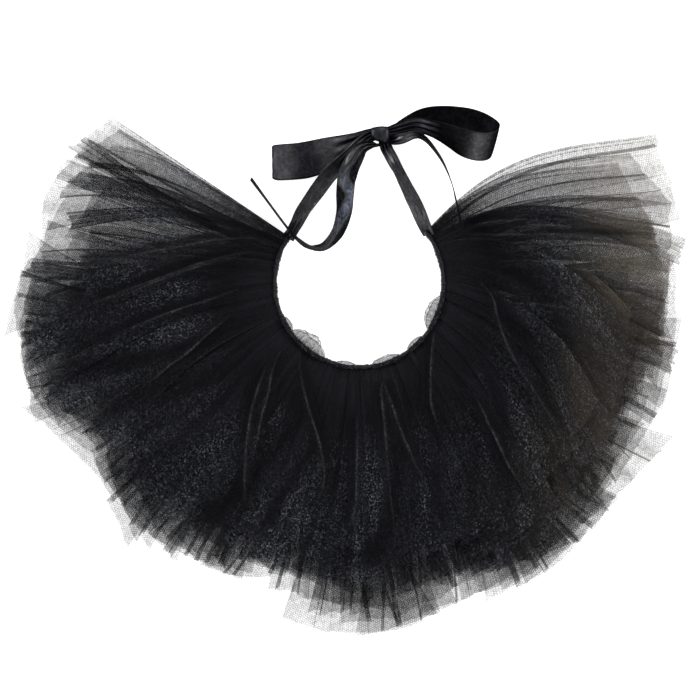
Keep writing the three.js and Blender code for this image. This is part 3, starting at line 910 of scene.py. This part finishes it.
# %% Casing fabric
def casing_material():
    """Matt black casing: a fine uneven bump for its weave, and a patchy painted highlight on the crowns
    of the ruches.
    """
    material, tree, surface, flat = cloth_material("gathered_casing")
    surface.inputs["Roughness"].default_value = 0.5
    surface.inputs["Specular IOR Level"].default_value = 0.15
    # Painted highlight: paler colour on the crowns of the ruches, in patches.
    painted_crown_highlight = maths(tree, "MULTIPLY", attribute(tree, "crown"), clouds(tree, flat, 500, 0.35, 0.75))
    colour = mix_colour(tree, painted_crown_highlight, (0.004, 0.004, 0.005), (0.018, 0.019, 0.023))
    tree.links.new(colour, surface.inputs["Base Color"])
    bump(tree, surface, noise(tree, flat, 1800), 0.4, 0.2 * MM)
    return material


# %% Waistband
BAND_FROM, BAND_TO = 146, 398          # degrees round the waist
RUCHES = 70
CASING_LENGTH = 0.265 * 1.5            # metres: the arc times how much the elastic gathers it
CASING_GIRTH = 0.028                   # metres round the band


def squared(value, power):
    """A sine or cosine drawn towards 1 and -1, which squares off a circle or a ball."""
    return np.sign(value) * np.abs(value) ** power


def waistband():
    """A superellipse of power 3 round the arc. Each ruch lifts it by up to 0.9 mm, as |sin| does."""
    rng = np.random.default_rng(7)
    along, turn = np.meshgrid(np.linspace(0, 1, RUCHES * 8 + 1), np.linspace(0, 2 * np.pi, 29),
                              indexing="ij")
    phase = RUCHES * along + 1.7 * wander(along * 11, rng)
    ruch = np.abs(np.sin(np.pi * (phase + 0.4 * np.sin(turn + 9 * along)))) ** 0.7
    puffed = 0.9 * MM * ruch * (0.55 + 0.6 * wander(along * 17, rng))
    past = np.clip(np.abs(along - 0.5) * 2 - 0.985, 0, 1) / 0.015      # 0 to 1 over each end's cap
    end = np.sqrt(np.clip(1 - past ** 2, 0, 1))
    side, up = squared(np.cos(turn), 2 / 3), squared(np.sin(turn), 2 / 3)
    radius = BAND_OUTER - 2.05 * MM + side * (1.3 * MM + puffed) * end
    radius += 0.25 * MM * wander(along * 11, rng)
    height = BAND_HEIGHT / 2 + up * (BAND_HEIGHT / 2 - 0.9 * MM + puffed) * end
    points = round_waist(radius, np.radians(blend(BAND_FROM, BAND_TO, along)), height)
    flat = stack(along * CASING_LENGTH, turn / (2 * np.pi) * CASING_GIRTH)
    grid = {"points": points, "flat": flat, "crown": ruch}
    piece = cloth_object("ruched_waistband", [grid], casing_material(), turned=True)
    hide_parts("waistband")


waistband()
print("ruches:", RUCHES, "casing in mm:", round(CASING_LENGTH / MM))

# %% [markdown]
# ## Satin ribbon
# Satin is smooth on one face, because its warp threads lie on top for most of
# their way. It mirrors light softly, so the shader is a very dark metal of middling
# roughness, smoother where it shines, with a bump of fine lines along the ribbon.
# Soft clouds with a grain in them make the colour uneven at random. How much
# each place shines is an attribute given along each ribbon: there the metal reflects
# more, and its paler colour is partly a painted highlight. The woven edge, the
# selvedge, is a slightly raised and duller cord a millimetre wide.

# %% Satin material
RIBBON_WIDTH = 25 * MM


def satin_material():
    """Black satin on the cloth UV, where x runs across the ribbon and y along it, in metres.

    As the shine attribute goes from 0 to 0.5 to 1, the colour goes from dull to mid to bright:
    a metal that reflects more, whose paler colour is partly a painted highlight. Each of
    these is mixed from a darker and a paler one by the clouds.
    """
    material, tree, surface, flat = cloth_material("black_satin")
    surface.inputs["Metallic"].default_value = 1.0
    surface.inputs["Specular Tint"].default_value = (0.05, 0.05, 0.05, 1)
    threads = noise(tree, scaled(tree, flat, (1, 0.035, 1)), 3200)
    across = axes(tree, flat)[0]
    from_edge = maths(tree, "MINIMUM", across, maths(tree, "SUBTRACT", RIBBON_WIDTH, across))
    selvedge = ramp(tree, from_edge, 1.1 * MM, 0.8 * MM)
    cloudy = clouds(tree, flat, 70, 0.48, 0.94, grain=0.35)
    dull = mix_colour(tree, cloudy, (0.016, 0.016, 0.019), (0.032, 0.033, 0.039))
    mid = mix_colour(tree, cloudy, (0.085, 0.085, 0.088), (0.150, 0.150, 0.156))
    bright = mix_colour(tree, cloudy, (0.075, 0.080, 0.105), (0.210, 0.225, 0.270))
    shiny = attribute(tree, "shiny")
    colour = mix_colour(tree, ramp(tree, shiny, 0, 0.5), dull, mid)
    colour = mix_colour(tree, ramp(tree, shiny, 0.5, 1), colour, bright)
    colour = mix_colour(tree, maths(tree, "MULTIPLY", selvedge, 0.5), colour, (0.010, 0.010, 0.011))
    tree.links.new(colour, surface.inputs["Base Color"])
    rough = maths(tree, "MULTIPLY_ADD", shiny, -0.20, 0.44)
    rough = maths(tree, "MULTIPLY_ADD", threads, 0.12, rough)
    rough = maths(tree, "MULTIPLY_ADD", selvedge, 0.25, rough)
    tree.links.new(rough, surface.inputs["Roughness"])
    raised = maths(tree, "ADD", threads, maths(tree, "MULTIPLY", selvedge, 1.5))
    bump(tree, surface, raised, 0.35, 0.15 * MM)
    return material


SATIN = satin_material()

# %% [markdown]
# ## The ribbons
# The ribbon is 25 mm wide, and most of it stands on its edge. A short table gives
# each length of it. A place in it has five numbers: x, y and height of the ribbon's
# middle, how wide it stands there, and how far it leans up from lying flat. Where
# it is squeezed into the knot it is narrower, and the rest of its width goes into
# pleats along it. Two more rows of numbers go with some ribbons, one for each place:
# shine, how much it shines, which is partly a painted highlight, and streak, where
# across it that painted highlight is brightest.

# %% Ribbon tables: (x, y, height, width, lean), from the waist's middle in millimetres, and degrees
TIE_LEFT = [
    (-50, 31.5, 3, 10, 30), (-46.5, 37, 3.6, 12, 50), (-42.3, 44.2, 6.4, 19, 66),
    (-37.8, 52.5, 10.5, 25, 69), (-29.4, 64.4, 12, 25, 66), (-20.3, 76.3, 13.5, 22, 62),
    (-8.6, 88.3, 14.2, 14, 50), (2.0, 98.8, 13, 9, 22), (8.4, 103.4, 12.4, 6.5, 8),
    (14, 105, 11, 6, 8)]
TIE_RIGHT = [
    (49.5, 33.5, 4, 13, 60), (46, 40.5, 6.4, 17, 63), (40.6, 52.5, 10.7, 22, 67),
    (36.8, 60.2, 12.2, 25, 70), (31.5, 70.7, 12.4, 25, 73), (26.3, 81.2, 11.8, 20, 70),
    (20.9, 91, 8.4, 12, 52), (18.3, 96.5, 7.4, 8, 12), (17, 101, 7, 7, 8)]
TAIL_LEFT = [
    (17, 98.2, 8, 2, 8), (12.8, 96.6, 10, 2, 8), (8.4, 96.6, 13, 5, 10), (1.5, 93.8, 16, 10, 28),
    (-4.6, 84.4, 15.6, 18, 50), (-8.6, 72.8, 13.4, 25, 60), (-9.8, 61.6, 11.3, 25, 61),
    (-10.7, 49, 11.5, 25, 65), (-15.4, 35, 12, 25, 71), (-24.5, 25.8, 12.4, 25, 78),
    (-34.3, 25.4, 13.5, 25, 84), (-42.3, 30.1, 16.2, 23, 85), (-48.4, 36.4, 16.6, 22, 86.5),
    (-55.3, 45.2, 14.2, 24, 87), (-64.4, 57.6, 12.8, 25, 87), (-75.6, 72.8, 12.8, 25, 85.5)]
TAIL_RIGHT = [
    (17, 101, 8, 5, 20), (23, 99.9, 7.6, 6, 20), (31.8, 101.8, 11.4, 13, 62),
    (39.4, 103.6, 13.4, 18, 76), (45.5, 101.4, 13.2, 22, 84), (51.8, 94.8, 14, 25, 87.5),
    (58.6, 84.3, 16.5, 25, 89.5), (63.5, 72.4, 22, 25, 91.5), (67.2, 58.6, 26.5, 25, 90.5),
    (70, 46, 26.6, 25, 89.5), (71.4, 37.9, 26.4, 25, 89.5)]
LOOP_LEFT = [
    (14, 104.8, 7, 8, 0), (8, 103.7, 6.6, 9.4, 0), (-3.5, 98.2, 7.6, 14.4, 2),
    (-20.3, 91.6, 8, 22, 4), (-37.8, 86.6, 7.8, 25, 4), (-52.5, 85.1, 7.3, 25, 3),
    (-58.6, 84.8, 6.2, 24.4, 3), (-60.9, 84.7, 4, 21.5, 2), (-58.6, 84.7, 1.7, 24.4, 1),
    (-52.5, 84.9, 0.8, 25, 0), (-37.8, 86.2, 0.7, 25, 0), (-20.3, 91.2, 0.7, 22, 0),
    (-3.5, 98.2, 1.2, 14, 0), (8, 103.2, 2.4, 7.5, 0), (14, 104.6, 4, 5, 0)]
LOOP_RIGHT = [
    (17, 104, 7, 7, 20), (23, 105.6, 6.4, 8, 20), (35.6, 111.2, 6.4, 17, 36),
    (49, 114, 7.8, 23, 38), (63.7, 113.8, 8.3, 25, 38), (77.7, 111.8, 8.6, 25, 38),
    (89, 107, 10.8, 25, 38), (95.4, 101, 16.5, 25, 38), (92.6, 95.8, 23, 25, 39),
    (84.7, 94.4, 26, 25, 41), (74.2, 96.9, 26.2, 25, 44), (62.3, 102.4, 24, 23, 54),
    (50.4, 107.8, 19.6, 17, 54), (37.6, 110.9, 15.2, 11, 40), (23, 107.2, 13.8, 6, 10),
    (17, 105, 12, 6, 10)]
RIBBONS = {
    "tie_left": {"places": TIE_LEFT, "side": 1, "seed": 1,
                 "shiny": (0.3, 0.4, 0.5, 0.5, 0.5, 0.4, 0.3, 0.2, 0, 0)},
    "tie_right": {"places": TIE_RIGHT, "side": -1, "seed": 2,
                  "shiny": (0.1, 0.3, 0.6, 0.4, 0.4, 0.3, 0.2, 0, 0)},
    "tail_left": {"places": TAIL_LEFT, "side": -1, "seed": 3,
                  "shiny": (0, 0, 0.1, 0.2, 0.6, 0.8, 1, 1, 0.6, 0.5, 0.4, 0.2, 0, 0, 0, 0),
                  "painted_streak": (0, 0, 0, 0, 0.3, 0.2, -0.35, 0, 0.3, 0, 0, 0, 0, 0, 0, 0)},
    "tail_right": {"places": TAIL_RIGHT, "side": 1, "seed": 4,
                   "shiny": (0, 0.1, 0.4, 0.2, 0, 0, 0, 0, 0, 0, 0)},
    "bow_loop_left": {"places": LOOP_LEFT, "bearing": 91, "seed": 5,
                      "shiny": (0, 0, 0.1, 0.3, 0, 0.35, 0.1, 0.05, 0, 0, 0, 0, 0, 0, 0)},
    "bow_loop_right": {"places": LOOP_RIGHT, "bearing": 76, "seed": 6,
                       "shiny": (0, 0, 0.1, 0.05, 0, 0, 0, 0, 0.1, 0.6, 0.1, 0, 0.05, 0, 0, 0)},
}
RIBBON_STEPS = 12          # rows from one place of a table to the next
RIBBON_COLUMNS = 33
RIBBON_FOLDS = 3


# %% A ribbon along a table
def ribbon_way(places, side, bearing):
    """The ribbon's middle, its width, and the directions across it and out of its face, row by row.

    The width points to the left (side 1) or right (side -1) of the ribbon's way, or in the fixed
    direction `bearing`. It leans up from there, and stays square to the way.
    """
    line = smooth_line(places, RIBBON_STEPS * (len(places) - 1) + 1)
    middle = line[:, :3] * MM + np.array([*WAIST, 0])
    width = np.clip(line[:, 3] * MM, 2 * MM, RIBBON_WIDTH)
    lean = np.radians(line[:, 4])
    forward = unit(np.gradient(middle, axis=0))
    heading = np.arctan2(forward[:, 1], forward[:, 0])
    level = np.radians(bearing) if side is None else heading + side * np.pi / 2
    rise = stack(np.cos(level) * np.cos(lean), np.sin(level) * np.cos(lean), np.sin(lean))
    across = unit(rise - (rise * forward).sum(axis=-1, keepdims=True) * forward)
    return middle, width, across, np.cross(forward, across)


def ribbon(node, places, shiny, seed, side=None, bearing=None, painted_streak=None):
    """One ribbon as a thin shell. Returns its length.

    Pleats along it are a sine of height sqrt(25^2 - width^2) / (8 folds), which keeps the cloth
    25 mm wide. A slow wander bows its middle by up to 0.7 mm.
    """
    rng = np.random.default_rng(seed)
    middle, width, across, face = ribbon_way(places, side, bearing)
    length = np.concatenate([[0], np.cumsum(np.linalg.norm(np.diff(middle, axis=0), axis=1))])
    share = np.linspace(-0.5, 0.5, RIBBON_COLUMNS)
    fold = np.sqrt(RIBBON_WIDTH ** 2 - width ** 2) / (8 * RIBBON_FOLDS)
    fold = fold * smooth_step(23 * MM, 17 * MM, width)
    turn = 2 * np.pi * RIBBON_FOLDS * share + 0.8 * wander(length / 0.15, rng)[:, None]
    bow = 0.7 * MM * (1 - 4 * share ** 2) * wander(length / 0.05 + 0.5, rng)[:, None]
    lift = fold[:, None] * np.sin(turn) + bow
    points = middle[:, None] + across[:, None] * (width[:, None] * share)[..., None]
    points += face[:, None] * lift[..., None]
    points[..., 2] += np.maximum(0.35 * MM - points[..., 2].min(axis=1), 0)[:, None]
    # The shine is partly a painted highlight: a paler colour placed along the ribbon, and along a streak
    # across it.
    painted_sheen = smooth_line(shiny, len(middle)).clip(0, 1)[:, None] + 0 * share
    if painted_streak:
        away = np.abs(share - smooth_line(painted_streak, len(middle))[:, None])
        painted_sheen = painted_sheen * smooth_step(0.5, 0.08, away)
    flat = stack((share + 0.5) * RIBBON_WIDTH, length[:, None])
    grid = {"points": points, "flat": flat, "shiny": painted_sheen}
    piece = cloth_object("ribbon_" + node.removeprefix("bow_"), [grid], SATIN)
    shell = piece.modifiers.new("ribbon thickness", "SOLIDIFY")
    shell.thickness = 0.3 * MM
    shell.offset = 0
    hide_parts(node)
    return length[-1]


lengths = {node: ribbon(node, **row) for node, row in RIBBONS.items()}
print("ribbon lengths in mm:", {node: round(length / MM) for node, length in lengths.items()})

# %% [markdown]
# ## The knot
# The knot is a turn of the same ribbon pulled tight round the others. It is a
# rounded block with the folds of the turn running round it, each fold a shallow
# groove of its own depth.

# %% Knot
def knot():
    """A squared ball a third wider than its solid, shorter at its left, grooved by two sines."""
    low, high = (np.array(corner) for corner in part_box("bow_knot"))
    middle, half = (low + high) / 2, (high - low) / 2
    lift, turn = np.meshgrid(np.linspace(-np.pi / 2, np.pi / 2, 49), np.linspace(0, 2 * np.pi, 97),
                             indexing="ij")
    x, y = (squared(np.cos(lift), 0.55) * squared(wave, 0.55) for wave in (np.cos(turn), np.sin(turn)))
    z = squared(np.sin(lift), 0.55)
    folds = 0.6 * np.sin(7 * x + 1.4 * y) + 0.4 * np.sin(12 * x - 0.9)
    shape = stack(1.36 * x, (0.88 + 0.2 * x) * y + 0.24 - 0.12 * x, 0.9 * z)
    shape = shape * (0.98 + 0.02 * folds * np.cos(lift))[..., None]
    points = middle + shape * half - np.array([1.4 * MM, 0, 0])
    flat = stack((x + 1) * half[0] * 2, turn * half[1] * 1.3)
    # The shine rises a little on the folds' crests: a faint painted highlight along them.
    grid = {"points": points, "flat": flat, "shiny": 0.06 + 0.08 * folds}
    piece = cloth_object("satin_knot", [grid], SATIN)
    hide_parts("bow_knot")
    print("knot in mm:", np.round(np.ptp(points.reshape(-1, 3), axis=0) / MM, 1))


knot()

# %% [markdown]
# ## Table, light and camera
# Black cloth on a white table is lit brightly, and from low at the sides, so that
# the satin and the net's threads catch some of it. A little light of the table's
# own makes it nearly pure white. The camera is straight above the middle of the
# tutu and far away, with a long lens, so that heights hardly shift anything
# sideways. Rays pass up to 64 see-through cloths, because so many layers of net lie
# on each other. The denoiser takes its guides as they are, which keeps the net's
# fine grain.

# %% Table
def table_top():
    """A flat square, far larger than the view, in a matt white that shines a little by itself."""
    far = 6.0                          # metres from its middle to its sides
    mesh = bpy.data.meshes.new("table_top")
    corners = [(-far, -far, 0), (far, -far, 0), (far, far, 0), (-far, far, 0)]
    mesh.from_pydata(corners, [], [(0, 1, 2, 3)])
    top = bpy.data.objects.new("table_top", mesh)
    bpy.context.scene.collection.objects.link(top)
    material = bpy.data.materials.new("white_table")
    material.use_nodes = True
    surface = material.node_tree.nodes["Principled BSDF"]
    surface.inputs["Base Color"].default_value = (0.5, 0.5, 0.5, 1)
    surface.inputs["Roughness"].default_value = 0.9
    surface.inputs["Specular IOR Level"].default_value = 0.1
    surface.inputs["Emission Color"].default_value = (1, 1, 1, 1)
    surface.inputs["Emission Strength"].default_value = 0.92
    mesh.materials.append(material)


table_top()


# %% Light
def area_light(name, place, size, power, tint=(1, 1, 1)):
    """A square light aimed at the middle of the tutu."""
    light = bpy.data.lights.new(name, "AREA")
    light.size = size
    light.energy = power
    light.color = tint
    holder = bpy.data.objects.new(name, light)
    holder.location = place
    holder.rotation_euler = (-holder.location).to_track_quat("-Z", "Y").to_euler()
    bpy.context.scene.collection.objects.link(holder)


area_light("light_left", (-1.9, 0.5, 1.5), 0.9, 40)
area_light("light_right", (1.9, 0.6, 1.2), 0.9, 40)
area_light("light_back", (0.1, 2.3, 1.5), 1.8, 36, (0.94, 0.97, 1))
area_light("light_front", (0, -2.2, 1.7), 1.8, 26)

world = bpy.data.worlds.new("soft_studio")
world.use_nodes = True
world.node_tree.nodes["Background"].inputs["Color"].default_value = (1, 1, 1, 1)
world.node_tree.nodes["Background"].inputs["Strength"].default_value = 0.3
bpy.context.scene.world = world

# %% Camera
view = bpy.data.cameras.new("camera_above")
view.sensor_width = 36
view.lens = 183.7                      # millimetres: the view is 0.49 m wide on the table
view.clip_end = 20
camera = bpy.data.objects.new("camera_above", view)
camera.location = (0.0001, 0.0130, 2.512)
bpy.context.scene.collection.objects.link(camera)
bpy.context.scene.camera = camera
bpy.context.scene.view_settings.view_transform = "Standard"
bpy.context.scene.cycles.transparent_max_bounces = 64
bpy.context.scene.cycles.max_bounces = 16
bpy.context.scene.cycles.use_denoising = True
bpy.context.scene.cycles.denoising_prefilter = "NONE"
